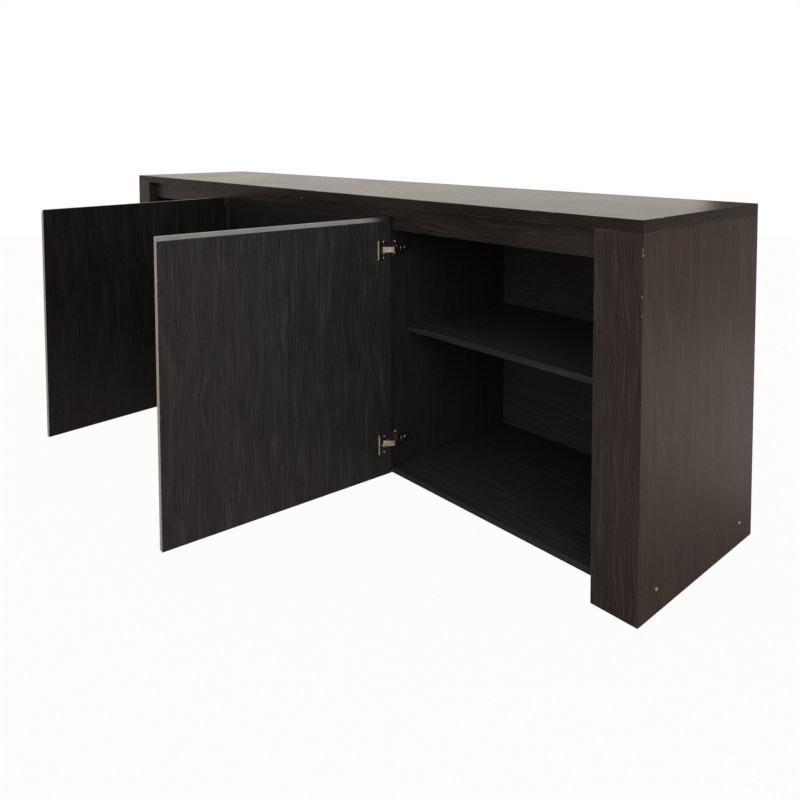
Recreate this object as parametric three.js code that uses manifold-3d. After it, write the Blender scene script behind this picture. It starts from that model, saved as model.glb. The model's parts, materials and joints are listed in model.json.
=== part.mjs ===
// Office credenza: a long, low cabinet between two thick legs, under one top.
// A cupboard with a shelf stands at each end, and two file drawers fill the middle.
// Millimetres, +Z up. The origin is on the floor at the middle of the cabinet's footprint,
// with the front towards -Y. The doors stand open, which is how they rest.

import * as THREE from 'three';
import { mergeVertices } from 'three/addons/utils/BufferGeometryUtils.js';
import Module from 'manifold-3d';

const wasm = await Module();
wasm.setup();

// Overall size
const WIDTH = 2320;
const DEPTH = 506;
const HEIGHT = 780;

// Boards
const TOP_THICKNESS = 25;
const BOARD = 15;
const PARTITION_THICKNESS = 25;
const BACK_THICKNESS = 5;
const BACK_INSET = 10;

// Legs and feet: each leg is a box of boards as deep as the cabinet
const LEG_WIDTH = 103;
const LEG_BASE_CLEARANCE = 44;
const FOOT_RADIUS = 22;
const FOOT_STEM_RADIUS = 9;
const FOOT_PAD_HEIGHT = 8;
const FOOT_CONE_HEIGHT = 6;

// Carcass between the legs
const BOTTOM_CLEARANCE = 37;
const CARCASS_SETBACK = 28;
const RAIL_HEIGHT = 63;
const MIDDLE_RAIL_HEIGHT = 50;
const MIDDLE_BAY_WIDTH = 812;

// Fronts: the doors and the drawer fronts share one plane
const FRONT_THICKNESS = 15;
const FRONT_STANDOFF = 1.5;
const FRONT_REVEAL = 2;
const FRONT_LIFT = 10;
const FINGER_GAP = 27;
const FINGER_BEVEL = 9.5;
const DRAWER_FINGER_GAP = 20;
const OPEN_ANGLE = THREE.MathUtils.degToRad(94);

// Shelves, each on two cleats
const SHELF_RISE = 360;
const SHELF_SETBACK = 57;
const SHELF_END_GAP = 1;
const SHELF_BACK_GAP = 2;
const CLEAT_SIZE = 20;
const CLEAT_SETBACK = 30;

// Drawer boxes and their runners
const DRAWER_DEPTH = 420;
const DRAWER_BOX_HEIGHT = 220;
const DRAWER_BOX_RISE = 30;
const DRAWER_BOARD = 12;
const DRAWER_FLOOR_THICKNESS = 5;
const DRAWER_FLOOR_RISE = 10;
const RUNNER_SPACE = 12.7;
const RUNNER_HEIGHT = 45;
const RUNNER_STEEL = 1.2;
const RUNNER_PLAY = 1.5;
const RUNNER_RISE = 45;
const RUNNER_SETBACK = 4;
const RUNNER_LENGTH = 400;

// Concealed hinges
const HINGE_END_DISTANCE = 84;
const CUP_DIAMETER = 35;
const CUP_DEPTH = 11;
const CUP_EDGE_DISTANCE = 5;
const CUP_WALL = 1.4;
const CUP_PLAY = 0.3;
const FLANGE_LENGTH = 54;
const FLANGE_THICKNESS = 1.2;
const FLANGE_CORNER = 2;
const FLANGE_LIP = 2.5;
const FLANGE_LIP_WIDTH = 3.5;
const FLANGE_LIP_SLOPE = 1.9;
const FLANGE_LIP_RISE = 1;
const ARM_HEIGHT = 18.5;
const ARM_LENGTH = 50;
const ARM_STEEL = 1.5;
const ARM_STANDOFF = 15.5;
const ARM_SETBACK = 2.5;
const ARM_BRIDGE_SETBACK = 17;
const PLATE_THICKNESS = 2;
const PLATE_WING_LENGTH = 44;
const PLATE_WING_WIDTH = 18;
const PLATE_WING_SETBACK = 2;
const PIVOT_STANDOFF = 12;
const PIVOT_SETBACK = 7.5;
const PIN_RADIUS = 2;
const PIN_PLAY = 0.4;
const LINK_THICKNESS = 4;
const LINK_EYE_RADIUS = 4.5;
const LINK_PLAY = 0.75;
const LINK_RISE = 11;
const LINK_CREST_SETBACK = 4;
const LINK_DIP = 6;

// Facets on round pieces
const ROUND_SIDES = 32;
const PIN_SIDES = 16;
const LINK_STEPS = 12;

// Planes that the pieces share
const legOuter = WIDTH / 2;
const legInner = legOuter - LEG_WIDTH;
const cabinetFront = -DEPTH / 2;
const cabinetRear = DEPTH / 2;
const topUnderside = HEIGHT - TOP_THICKNESS;
const carcassFront = cabinetFront + CARCASS_SETBACK;
const backRear = cabinetRear - BACK_INSET;
const backFront = backRear - BACK_THICKNESS;
const bottomTop = BOTTOM_CLEARANCE + BOARD;
const railBottom = topUnderside - RAIL_HEIGHT;
const bayInner = MIDDLE_BAY_WIDTH / 2;
const bayOuter = bayInner + PARTITION_THICKNESS;
const frontInner = carcassFront - FRONT_STANDOFF;
const frontOuter = frontInner - FRONT_THICKNESS;
const frontBottom = BOTTOM_CLEARANCE + FRONT_LIFT;
const frontTop = topUnderside - FINGER_GAP;

// Doors and hinges, in a door's own plane: along it from the hinged edge, and in from its outer face
const doorPivotX = bayOuter + FRONT_REVEAL;
const doorWidth = legInner - FRONT_REVEAL - doorPivotX;
const cupRadius = CUP_DIAMETER / 2;
const cupCentre = CUP_EDGE_DISTANCE + cupRadius;
const hingeHeights = { upper: frontTop - HINGE_END_DISTANCE, lower: frontBottom + HINGE_END_DISTANCE };
const linkHeight = ARM_HEIGHT - 2 * ARM_STEEL - 2 * LINK_PLAY;

// Drawers
const drawerFrontHeight = (frontTop - frontBottom - DRAWER_FINGER_GAP) / 2;
const drawerBottoms = { upper: frontTop - drawerFrontHeight, lower: frontBottom };
const drawerOuter = bayInner - RUNNER_SPACE;

const sides = { left: -1, right: 1 };

const finishes = {
  top: new THREE.MeshStandardMaterial({ color: 0x3a3330, roughness: 0.35 }),
  panel: new THREE.MeshStandardMaterial({ color: 0x2e2826, roughness: 0.45 }),
  inside: new THREE.MeshStandardMaterial({ color: 0x231f1e, roughness: 0.55 }),
  drawer: new THREE.MeshStandardMaterial({ color: 0x2a2523, roughness: 0.6 }),
  nickel: new THREE.MeshStandardMaterial({ color: 0xc9c4ba, roughness: 0.25, metalness: 1 }),
  steel: new THREE.MeshStandardMaterial({ color: 0xa9abac, roughness: 0.35, metalness: 1 }),
  plastic: new THREE.MeshStandardMaterial({ color: 0x1b1b1c, roughness: 0.6 }),
};

const credenza = new THREE.Group();

function place(name, finish, geometry, parent = credenza) {
  const mesh = new THREE.Mesh(geometry, finishes[finish]);
  mesh.name = name;
  parent.add(mesh);
}

// A block between two faces on each axis; the X faces may come in either order
function block([x0, x1], [y0, y1], [z0, z1]) {
  const geometry = new THREE.BoxGeometry(Math.abs(x1 - x0), y1 - y0, z1 - z0);
  return geometry.translate((x0 + x1) / 2, (y0 + y1) / 2, (z0 + z1) / 2);
}

// A plan outline, raised between two heights
function raised(shape, [z0, z1]) {
  return new THREE.ExtrudeGeometry(shape, { depth: z1 - z0, bevelEnabled: false }).translate(0, 0, z0);
}

function outline(points) {
  return new THREE.Shape(points.map(([x, y]) => new THREE.Vector2(x, y)));
}

// A profile of depths and heights, drawn out along the cabinet's width
function drawnOut(points, [x0, x1]) {
  const geometry = new THREE.ExtrudeGeometry(outline(points), { depth: x1 - x0, bevelEnabled: false });
  const profileToCabinet = new THREE.Matrix4().makeBasis(
    new THREE.Vector3(0, 1, 0), new THREE.Vector3(0, 0, 1), new THREE.Vector3(1, 0, 0),
  );
  return geometry.applyMatrix4(profileToCabinet).translate(x0, 0, 0);
}

// A front board, with its inner top edge cut back so that fingers reach behind it
function frontBoard(ends, [outer, inner], [bottom, top]) {
  return drawnOut([
    [outer, bottom], [inner, bottom], [inner, top - FINGER_BEVEL], [inner - FINGER_BEVEL, top], [outer, top],
  ], ends);
}

// The same piece for the other side of the cabinet, with its faces still pointing out
function mirrored(geometry) {
  const flipped = geometry.index ? geometry.toNonIndexed() : geometry.clone();
  flipped.scale(-1, 1, 1);
  const corners = flipped.attributes.position;
  for (let i = 0; i < corners.count; i += 3) {
    const second = new THREE.Vector3().fromBufferAttribute(corners, i + 1);
    const third = new THREE.Vector3().fromBufferAttribute(corners, i + 2);
    corners.setXYZ(i + 1, third.x, third.y, third.z);
    corners.setXYZ(i + 2, second.x, second.y, second.z);
  }
  flipped.computeVertexNormals();
  return flipped;
}

function onSide(side, geometry) {
  return sides[side] > 0 ? geometry : mirrored(geometry);
}

function solidOf(geometry) {
  const bare = geometry.clone();
  bare.deleteAttribute('normal');
  bare.deleteAttribute('uv');
  const merged = mergeVertices(bare);
  return new wasm.Manifold(new wasm.Mesh({
    numProp: 3,
    vertProperties: new Float32Array(merged.attributes.position.array),
    triVerts: new Uint32Array(merged.index.array),
  }));
}

function geometryOf(solid) {
  const mesh = solid.getMesh();
  const geometry = new THREE.BufferGeometry();
  geometry.setAttribute('position', new THREE.BufferAttribute(mesh.vertProperties, 3));
  geometry.setIndex(new THREE.BufferAttribute(mesh.triVerts, 1));
  const flat = geometry.toNonIndexed();
  flat.computeVertexNormals();
  return flat;
}

function joined(geometries) {
  return geometries.map(solidOf).reduce((whole, piece) => whole.add(piece));
}

// Legs: front board and outer side meet in a mitre, the inner side closes the box
function addLeg(side) {
  const s = sides[side];
  const sideInner = legOuter - BOARD;
  const frontBack = cabinetFront + BOARD;
  const innerBack = legInner + BOARD;
  const full = [0, topUnderside];
  const frontOutline = [
    [s * legInner, cabinetFront],
    [s * legOuter, cabinetFront],
    [s * sideInner, frontBack],
    [s * legInner, frontBack],
  ];
  const sideOutline = [
    [s * legOuter, cabinetFront],
    [s * legOuter, cabinetRear],
    [s * sideInner, cabinetRear],
    [s * sideInner, frontBack],
  ];
  place(`leg_front_${side}`, 'panel', raised(outline(frontOutline), full));
  place(`side_panel_${side}`, 'panel', raised(outline(sideOutline), full));
  place(`leg_inner_${side}`, 'inside', block([s * legInner, s * innerBack], [frontBack, cabinetRear], full));
  place(`leg_rear_${side}`, 'panel', block(
    [s * innerBack, s * sideInner], [cabinetRear - BOARD, cabinetRear], full,
  ));
  place(`leg_base_${side}`, 'inside', block(
    [s * innerBack, s * sideInner], [frontBack, cabinetRear - BOARD],
    [LEG_BASE_CLEARANCE, LEG_BASE_CLEARANCE + BOARD],
  ));
}

// Partitions stand on the bottom board, go round the front rail, and show a nose level with the fronts
function addPartition(side) {
  const railBack = carcassFront + BOARD;
  const profile = [
    [frontOuter, frontBottom], [carcassFront, frontBottom], [carcassFront, bottomTop], [backFront, bottomTop],
    [backFront, topUnderside], [railBack, topUnderside], [railBack, railBottom], [carcassFront, railBottom],
    [carcassFront, frontTop], [frontOuter, frontTop],
  ];
  place(`partition_${side}`, 'inside', onSide(side, drawnOut(profile, [bayInner, bayOuter])));
}

function addCarcass() {
  const between = [-legInner, legInner];
  const rail = [carcassFront, carcassFront + BOARD];
  const gapMiddle = drawerBottoms.upper - DRAWER_FINGER_GAP / 2;
  const middleRail = [gapMiddle - MIDDLE_RAIL_HEIGHT / 2, gapMiddle + MIDDLE_RAIL_HEIGHT / 2];
  place('top_panel', 'top', block(
    [-legOuter, legOuter], [cabinetFront, cabinetRear], [topUnderside, HEIGHT],
  ));
  place('bottom_panel', 'inside', block(between, [carcassFront, backFront], [BOTTOM_CLEARANCE, bottomTop]));
  place('back_panel', 'inside', block(between, [backFront, backRear], [BOTTOM_CLEARANCE, topUnderside]));
  place('front_rail', 'panel', block(between, rail, [railBottom, topUnderside]));
  place('middle_rail', 'inside', block([-bayInner, bayInner], rail, middleRail));
}

// Feet under the bottom board keep the long span from sagging
function addFeet() {
  const underPartition = bayInner + PARTITION_THICKNESS / 2;
  const rows = { left: -underPartition, centre: 0, right: underPartition };
  const coneTop = FOOT_PAD_HEIGHT + FOOT_CONE_HEIGHT;
  const profile = outline([
    [0, 0], [FOOT_RADIUS, 0], [FOOT_RADIUS, FOOT_PAD_HEIGHT], [FOOT_STEM_RADIUS, coneTop],
    [FOOT_STEM_RADIUS, BOTTOM_CLEARANCE], [0, BOTTOM_CLEARANCE],
  ]).getPoints();
  Object.entries(rows).forEach(([name, x]) => {
    const geometry = new THREE.LatheGeometry(profile, ROUND_SIDES);
    place(`foot_${name}`, 'plastic', geometry.rotateX(Math.PI / 2).translate(x, 0, 0));
  });
}

function addShelf(side) {
  const s = sides[side];
  const underside = bottomTop + SHELF_RISE;
  const shelfFront = carcassFront + SHELF_SETBACK;
  const shelfRear = backFront - SHELF_BACK_GAP;
  const ends = [s * (bayOuter + SHELF_END_GAP), s * (legInner - SHELF_END_GAP)];
  const cleatSpan = [shelfFront + CLEAT_SETBACK, shelfRear];
  const cleatHeights = [underside - CLEAT_SIZE, underside];
  place(`shelf_${side}`, 'inside', block(ends, [shelfFront, shelfRear], [underside, underside + BOARD]));
  place(`shelf_cleat_${side}_inner`, 'inside', block(
    [s * bayOuter, s * (bayOuter + CLEAT_SIZE)], cleatSpan, cleatHeights,
  ));
  place(`shelf_cleat_${side}_outer`, 'inside', block(
    [s * (legInner - CLEAT_SIZE), s * legInner], cleatSpan, cleatHeights,
  ));
}

// The cup in the door, with the flange that is screwed to the door's inner face
function hingeCup(height) {
  const floorLevel = FRONT_THICKNESS - CUP_DEPTH + CUP_PLAY;
  const flangeFoot = FRONT_THICKNESS + CUP_PLAY;
  const flangeTop = flangeFoot + FLANGE_THICKNESS;
  const shellRadius = cupRadius - CUP_PLAY;
  const hollowRadius = shellRadius - CUP_WALL;
  const flangeEnd = cupCentre + shellRadius;
  const lipEnd = flangeEnd + FLANGE_LIP;
  const lipTop = flangeTop + FLANGE_LIP_RISE;
  const shellDepth = flangeTop - floorLevel;
  const shell = new THREE.CylinderGeometry(shellRadius, shellRadius, shellDepth, ROUND_SIDES);
  const hollow = new THREE.CylinderGeometry(hollowRadius, hollowRadius, shellDepth, ROUND_SIDES);
  shell.translate(cupCentre, floorLevel + shellDepth / 2, height);
  hollow.translate(cupCentre, floorLevel + shellDepth / 2 + CUP_WALL, height);
  const half = FLANGE_LENGTH / 2;
  const plate = outline([
    [cupCentre, -half], [flangeEnd - FLANGE_CORNER, -half], [flangeEnd, -half + FLANGE_CORNER],
    [flangeEnd, half - FLANGE_CORNER], [flangeEnd - FLANGE_CORNER, half], [cupCentre, half],
  ]);
  const flange = new THREE.ExtrudeGeometry(plate, { depth: FLANGE_THICKNESS, bevelEnabled: false });
  flange.rotateX(Math.PI / 2).translate(0, flangeTop, height);
  const lipOutline = outline([
    [lipEnd - FLANGE_LIP_WIDTH, flangeFoot], [lipEnd, flangeFoot],
    [lipEnd - FLANGE_LIP_SLOPE, lipTop], [lipEnd - FLANGE_LIP_WIDTH, lipTop],
  ]);
  const lip = raised(lipOutline, [height - half + FLANGE_CORNER, height + half - FLANGE_CORNER]);
  return geometryOf(joined([shell, flange, lip]).subtract(solidOf(hollow)));
}

// A door and its cups, built shut and then swung open about the hinged edge
function addDoor(side) {
  const s = sides[side];
  const door = new THREE.Group();
  const board = frontBoard([0, doorWidth], [0, FRONT_THICKNESS], [frontBottom, frontTop]);
  const bores = Object.values(hingeHeights).map((height) => {
    const bore = new THREE.CylinderGeometry(cupRadius, cupRadius, 2 * CUP_DEPTH, ROUND_SIDES);
    return solidOf(bore.translate(cupCentre, FRONT_THICKNESS, height));
  });
  const drilled = bores.reduce((whole, bore) => whole.subtract(bore), solidOf(board));
  place(`door_${side}`, 'panel', onSide(side, geometryOf(drilled)), door);
  Object.entries(hingeHeights).forEach(([level, height]) => {
    place(`hinge_cup_${side}_${level}`, 'nickel', onSide(side, hingeCup(height)), door);
  });
  door.position.set(s * doorPivotX, frontOuter, 0);
  door.rotation.z = -s * OPEN_ANGLE;
  credenza.add(door);
}

// The arm on the partition: a plate with two wings, two cheeks, a bridge and the link's pin
function hingeArm(height) {
  const half = ARM_HEIGHT / 2;
  const armFront = carcassFront + ARM_SETBACK;
  const armRear = armFront + ARM_LENGTH;
  const armTop = bayOuter + ARM_STANDOFF;
  const wingFront = carcassFront + PLATE_WING_SETBACK;
  const pin = new THREE.CylinderGeometry(PIN_RADIUS, PIN_RADIUS, ARM_HEIGHT - ARM_STEEL, PIN_SIDES);
  pin.rotateX(Math.PI / 2).translate(bayOuter + PIVOT_STANDOFF, carcassFront + PIVOT_SETBACK, height);
  const plateFaces = [bayOuter, bayOuter + PLATE_THICKNESS];
  return geometryOf(joined([
    block(plateFaces, [wingFront, armRear], [height - half, height + half]),
    block(
      plateFaces, [wingFront, wingFront + PLATE_WING_WIDTH],
      [height - PLATE_WING_LENGTH / 2, height + PLATE_WING_LENGTH / 2],
    ),
    block([bayOuter, armTop], [armFront, armRear], [height + half - ARM_STEEL, height + half]),
    block([bayOuter, armTop], [armFront, armRear], [height - half, height - half + ARM_STEEL]),
    block(
      [armTop - ARM_STEEL, armTop], [carcassFront + ARM_BRIDGE_SETBACK, armRear],
      [height - half, height + half],
    ),
    pin,
  ]));
}

// The bent link runs from the arm's pin over the open door's edge and down into the cup
function hingeLink(height) {
  const pivot = new THREE.Vector2(bayOuter + PIVOT_STANDOFF, carcassFront + PIVOT_SETBACK);
  const hinged = new THREE.Vector2(doorPivotX, frontOuter);
  const overDoor = (along, inwards) => new THREE.Vector2(along, inwards)
    .rotateAround(new THREE.Vector2(), -OPEN_ANGLE)
    .add(hinged);
  const crest = FRONT_THICKNESS + LINK_RISE;
  const path = new THREE.SplineCurve([
    pivot,
    overDoor(-LINK_CREST_SETBACK, crest),
    overDoor(cupCentre, FRONT_THICKNESS - LINK_DIP),
  ]);
  const near = [];
  const far = [];
  for (let i = 0; i <= LINK_STEPS; i += 1) {
    const point = path.getPointAt(i / LINK_STEPS);
    const tangent = path.getTangentAt(i / LINK_STEPS);
    const across = new THREE.Vector2(-tangent.y, tangent.x).multiplyScalar(LINK_THICKNESS / 2);
    near.push(point.clone().add(across));
    far.unshift(point.clone().sub(across));
  }
  const heights = [height - linkHeight / 2, height + linkHeight / 2];
  const round = (radius, length) => new THREE.CylinderGeometry(radius, radius, length, PIN_SIDES)
    .rotateX(Math.PI / 2)
    .translate(pivot.x, pivot.y, height);
  const strip = raised(new THREE.Shape([...near, ...far]), heights);
  const eye = round(LINK_EYE_RADIUS, linkHeight);
  const hole = round(PIN_RADIUS + PIN_PLAY, 2 * linkHeight);
  return geometryOf(joined([strip, eye]).subtract(solidOf(hole)));
}

function addHinges(side) {
  Object.entries(hingeHeights).forEach(([level, height]) => {
    place(`hinge_arm_${side}_${level}`, 'nickel', onSide(side, hingeArm(height)));
    place(`hinge_link_${side}_${level}`, 'nickel', onSide(side, hingeLink(height)));
  });
}

// A steel channel along the drawer, drawn across it from its web to the tips of its flanges
function channel(web, tip, height, middle) {
  const half = height / 2;
  const inside = web + Math.sign(tip - web) * RUNNER_STEEL;
  const section = outline([
    [web, middle - half], [tip, middle - half], [tip, middle - half + RUNNER_STEEL],
    [inside, middle - half + RUNNER_STEEL], [inside, middle + half - RUNNER_STEEL],
    [tip, middle + half - RUNNER_STEEL], [tip, middle + half], [web, middle + half],
  ]);
  const geometry = new THREE.ExtrudeGeometry(section, { depth: RUNNER_LENGTH, bevelEnabled: false });
  return geometry.rotateX(Math.PI / 2).translate(0, carcassFront + RUNNER_SETBACK + RUNNER_LENGTH, 0);
}

function addRunners(level, boxBottom) {
  const middle = boxBottom + RUNNER_RISE;
  const slideHeight = RUNNER_HEIGHT - 2 * RUNNER_STEEL - 2 * RUNNER_PLAY;
  Object.entries(sides).forEach(([side, s]) => {
    const fixedTip = drawerOuter + RUNNER_PLAY;
    const slideTip = bayInner - RUNNER_STEEL - RUNNER_PLAY;
    place(`runner_${level}_${side}`, 'steel', channel(s * bayInner, s * fixedTip, RUNNER_HEIGHT, middle));
    place(`slide_${level}_${side}`, 'steel', channel(s * drawerOuter, s * slideTip, slideHeight, middle));
  });
}

function addDrawer(level) {
  const bottom = drawerBottoms[level];
  const boxBottom = bottom + DRAWER_BOX_RISE;
  const boxHeights = [boxBottom, boxBottom + DRAWER_BOX_HEIGHT];
  const boxRear = frontInner + DRAWER_DEPTH;
  const sideInner = drawerOuter - DRAWER_BOARD;
  const floorBottom = boxBottom + DRAWER_FLOOR_RISE;
  const frontEnd = bayInner - FRONT_REVEAL;
  place(`drawer_front_${level}`, 'panel', frontBoard(
    [-frontEnd, frontEnd], [frontOuter, frontInner], [bottom, bottom + drawerFrontHeight],
  ));
  Object.entries(sides).forEach(([side, s]) => {
    place(`drawer_side_${level}_${side}`, 'drawer', block(
      [s * sideInner, s * drawerOuter], [frontInner, boxRear], boxHeights,
    ));
  });
  place(`drawer_back_${level}`, 'drawer', block(
    [-sideInner, sideInner], [boxRear - DRAWER_BOARD, boxRear], boxHeights,
  ));
  place(`drawer_floor_${level}`, 'drawer', block(
    [-sideInner, sideInner], [frontInner, boxRear - DRAWER_BOARD],
    [floorBottom, floorBottom + DRAWER_FLOOR_THICKNESS],
  ));
  addRunners(level, boxBottom);
}

addCarcass();
addFeet();
Object.keys(sides).forEach((side) => {
  addLeg(side);
  addPartition(side);
  addShelf(side);
  addDoor(side);
  addHinges(side);
});
Object.keys(drawerBottoms).forEach(addDrawer);

export default credenza;
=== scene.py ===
"""Office credenza: wood, metal and plastic finishes, screws and a plain studio around the cabinet."""

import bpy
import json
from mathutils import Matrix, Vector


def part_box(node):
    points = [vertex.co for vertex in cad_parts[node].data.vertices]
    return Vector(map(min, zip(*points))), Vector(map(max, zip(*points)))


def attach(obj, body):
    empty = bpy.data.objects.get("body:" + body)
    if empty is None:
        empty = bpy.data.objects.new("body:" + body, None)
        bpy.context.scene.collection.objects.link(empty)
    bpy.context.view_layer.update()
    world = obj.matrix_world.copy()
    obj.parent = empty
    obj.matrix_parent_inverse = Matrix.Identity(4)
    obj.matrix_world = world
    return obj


bl_info = {
    "name": "Office credenza",
    "version": (1, 0, 0),
    "blender": (4, 5, 0),
    "location": "View3D > Sidebar > Credenza",
    "description": "Finishes a long office credenza in dark wood, with nickel hinges and small fasteners",
    "category": "Object",
}

import json
import math

import bmesh
import bpy
from bpy.props import FloatProperty, FloatVectorProperty, IntProperty, PointerProperty
from mathutils import Matrix, Vector

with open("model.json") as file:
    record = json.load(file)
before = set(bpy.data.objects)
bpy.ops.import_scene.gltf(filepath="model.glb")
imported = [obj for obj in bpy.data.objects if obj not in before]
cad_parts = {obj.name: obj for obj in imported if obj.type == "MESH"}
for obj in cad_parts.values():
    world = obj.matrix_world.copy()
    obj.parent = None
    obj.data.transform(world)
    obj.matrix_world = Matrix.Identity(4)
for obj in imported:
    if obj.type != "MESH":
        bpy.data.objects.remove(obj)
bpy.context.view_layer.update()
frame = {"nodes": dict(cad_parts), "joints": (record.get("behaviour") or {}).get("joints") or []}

SIDES = {"left": -1, "right": 1}
LEVELS = ("upper", "lower")
AXES = "XYZ"
JOINTS = {joint["name"]: joint for joint in frame["joints"]}

# The photograph's frame, and where the camera's axis meets it
IMAGE_PIXELS = 800
FOCAL_PIXELS = 722.461
AXIS_COLUMN = 373.639
AXIS_ROW = 175.245
SENSOR_WIDTH = 36.0


class CredenzaFinishes(bpy.types.PropertyGroup):
    """Colours and gloss of the credenza's materials."""

    wood_ground: FloatVectorProperty(
        name="Wood", description="Colour of the wood between its grain lines",
        subtype="COLOR", size=3, min=0, max=1, default=(0.0150, 0.0118, 0.0104))
    wood_line: FloatVectorProperty(
        name="Grain lines", description="Colour of the pale lines in the wood grain",
        subtype="COLOR", size=3, min=0, max=1, default=(0.0520, 0.0425, 0.0375))
    wood_blush: FloatVectorProperty(
        name="Wood blush", description="Colour of the redder patches in the wood",
        subtype="COLOR", size=3, min=0, max=1, default=(0.0230, 0.0140, 0.0125))
    door_edge: FloatVectorProperty(
        name="Door edges", description="Colour of the pale band round the doors",
        subtype="COLOR", size=3, min=0, max=1, default=(0.58, 0.57, 0.56))
    wood_chip: FloatVectorProperty(
        name="Chipped edge", description="Colour of the core where an edge is chipped",
        subtype="COLOR", size=3, min=0, max=1, default=(0.42, 0.36, 0.30))
    wood_roughness: FloatProperty(
        name="Wood roughness", description="Roughness of the laminate",
        subtype="FACTOR", min=0, max=1, default=0.30)
    top_roughness: FloatProperty(
        name="Top roughness", description="Roughness of the polished top",
        subtype="FACTOR", min=0, max=1, default=0.17)
    wood_ior: FloatProperty(
        name="Wood index", description="Index of refraction of the laminate's surface",
        min=1, max=2, default=1.33)
    nickel: FloatVectorProperty(
        name="Nickel", description="Colour of the hinges' plating",
        subtype="COLOR", size=3, min=0, max=1, default=(0.74, 0.70, 0.62))
    cup_tarnish: FloatVectorProperty(
        name="Cup tarnish", description="Golden colour where the plating of the hinges' cups is thin",
        subtype="COLOR", size=3, min=0, max=1, default=(0.76, 0.67, 0.52))
    zinc: FloatVectorProperty(
        name="Zinc", description="Colour of the drawer runners' plating",
        subtype="COLOR", size=3, min=0, max=1, default=(0.58, 0.60, 0.62))
    screw: FloatVectorProperty(
        name="Screws", description="Colour of the screw heads",
        subtype="COLOR", size=3, min=0, max=1, default=(0.80, 0.79, 0.76))
    plastic: FloatVectorProperty(
        name="Foot plastic", description="Colour of the feet",
        subtype="COLOR", size=3, min=0, max=1, default=(0.012, 0.012, 0.013))


class CredenzaSizes(bpy.types.PropertyGroup):
    """Sizes of the rounded edges and of the small fasteners."""

    board_edge: FloatProperty(
        name="Board edge", description="Rounding along the boards' edges",
        unit="LENGTH", min=0, default=0.0009)
    metal_edge: FloatProperty(
        name="Metal edge", description="Rounding along the metal pieces' edges",
        unit="LENGTH", min=0, default=0.0003)
    side_screw: FloatProperty(
        name="Side screw", description="Head diameter of the screws low on the side panels",
        unit="LENGTH", min=0.001, default=0.0085)
    side_screw_spread: FloatProperty(
        name="Side screw spread", description="Distance of the side screws from the middle of the panel",
        unit="LENGTH", min=0.01, default=0.1865)
    cup_screw: FloatProperty(
        name="Cup screw", description="Head diameter of the screws in the hinge cups' flanges",
        unit="LENGTH", min=0.001, default=0.007)
    cup_screw_spread: FloatProperty(
        name="Cup screw spread", description="Distance of a flange's screws from the middle of the hinge",
        unit="LENGTH", min=0.001, default=0.0208)
    cup_screw_inset: FloatProperty(
        name="Cup screw inset", description="Distance of a flange's screws from the door's hinged edge",
        unit="LENGTH", min=0.001, default=0.0232)
    plate_screw: FloatProperty(
        name="Plate screw", description="Head diameter of the screws in the hinge arms' plates",
        unit="LENGTH", min=0.001, default=0.008)
    arm_screw: FloatProperty(
        name="Arm screw", description="Head diameter of the adjusting screws on the hinge arms",
        unit="LENGTH", min=0.001, default=0.0062)
    back_nail: FloatProperty(
        name="Back nail", description="Head diameter of the nails round the back panel",
        unit="LENGTH", min=0.001, default=0.004)
    back_nail_count: IntProperty(
        name="Back nails", description="Nails along the back panel's upper and lower edge",
        min=2, default=15)


class CredenzaStage(bpy.types.PropertyGroup):
    """The camera, the light and the floor."""

    camera_place: FloatVectorProperty(
        name="Camera", description="Where the camera stands",
        subtype="TRANSLATION", size=3, default=(1.84764, -1.49051, 0.93303))
    camera_yaw: FloatProperty(
        name="Yaw", description="Turn of the camera from the +Y axis towards -X",
        subtype="ANGLE", default=math.radians(49.6298))
    camera_pitch: FloatProperty(
        name="Pitch", description="Tilt of the camera above the horizon",
        subtype="ANGLE", default=math.radians(-2.9217))
    camera_roll: FloatProperty(
        name="Roll", description="Turn of the camera about its own axis",
        subtype="ANGLE", default=math.radians(-0.2479))
    world_level: FloatProperty(
        name="Room light", description="Strength of the even light from all round",
        min=0, default=0.88)
    far_wall: FloatVectorProperty(
        name="Far wall", description="Colour of the bright wall that the top mirrors",
        subtype="COLOR", size=3, min=0, max=1, default=(0.68, 0.635, 0.58))
    dark_corner: FloatVectorProperty(
        name="Dark corner", description="Colour of the room's corner beside the bright wall",
        subtype="COLOR", size=3, min=0, max=1, default=(0.105, 0.084, 0.077))
    near_room: FloatVectorProperty(
        name="Near room", description="Colour of the room in front, as metal mirrors it",
        subtype="COLOR", size=3, min=0, max=1, default=(0.42, 0.39, 0.36))
    key_power: FloatProperty(
        name="Soft light", description="Power of the large lamp at the cabinet's right front",
        unit="POWER", min=0, default=25)
    floor_colour: FloatVectorProperty(
        name="Floor", description="Colour of the floor",
        subtype="COLOR", size=3, min=0, max=1, default=(0.24, 0.21, 0.19))
    floor_glow: FloatProperty(
        name="Floor whiteness", description="How much of the floor's look is plain white",
        subtype="FACTOR", min=0, max=1, default=0.97)
    floor_mirror: FloatVectorProperty(
        name="Mirrored floor", description="Colour of the floor in the cabinet's gloss",
        subtype="COLOR", size=3, min=0, max=1, default=(0.75, 0.64, 0.57))
    floor_mirror_share: FloatProperty(
        name="Mirrored floor share", description="How much of the mirrored floor is free of shade",
        subtype="FACTOR", min=0, max=1, default=0.44)
    sunny_share: FloatProperty(
        name="Sunny floor share", description="The same on the bright patch at the cabinet's right end",
        subtype="FACTOR", min=0, max=1, default=0.96)


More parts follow.
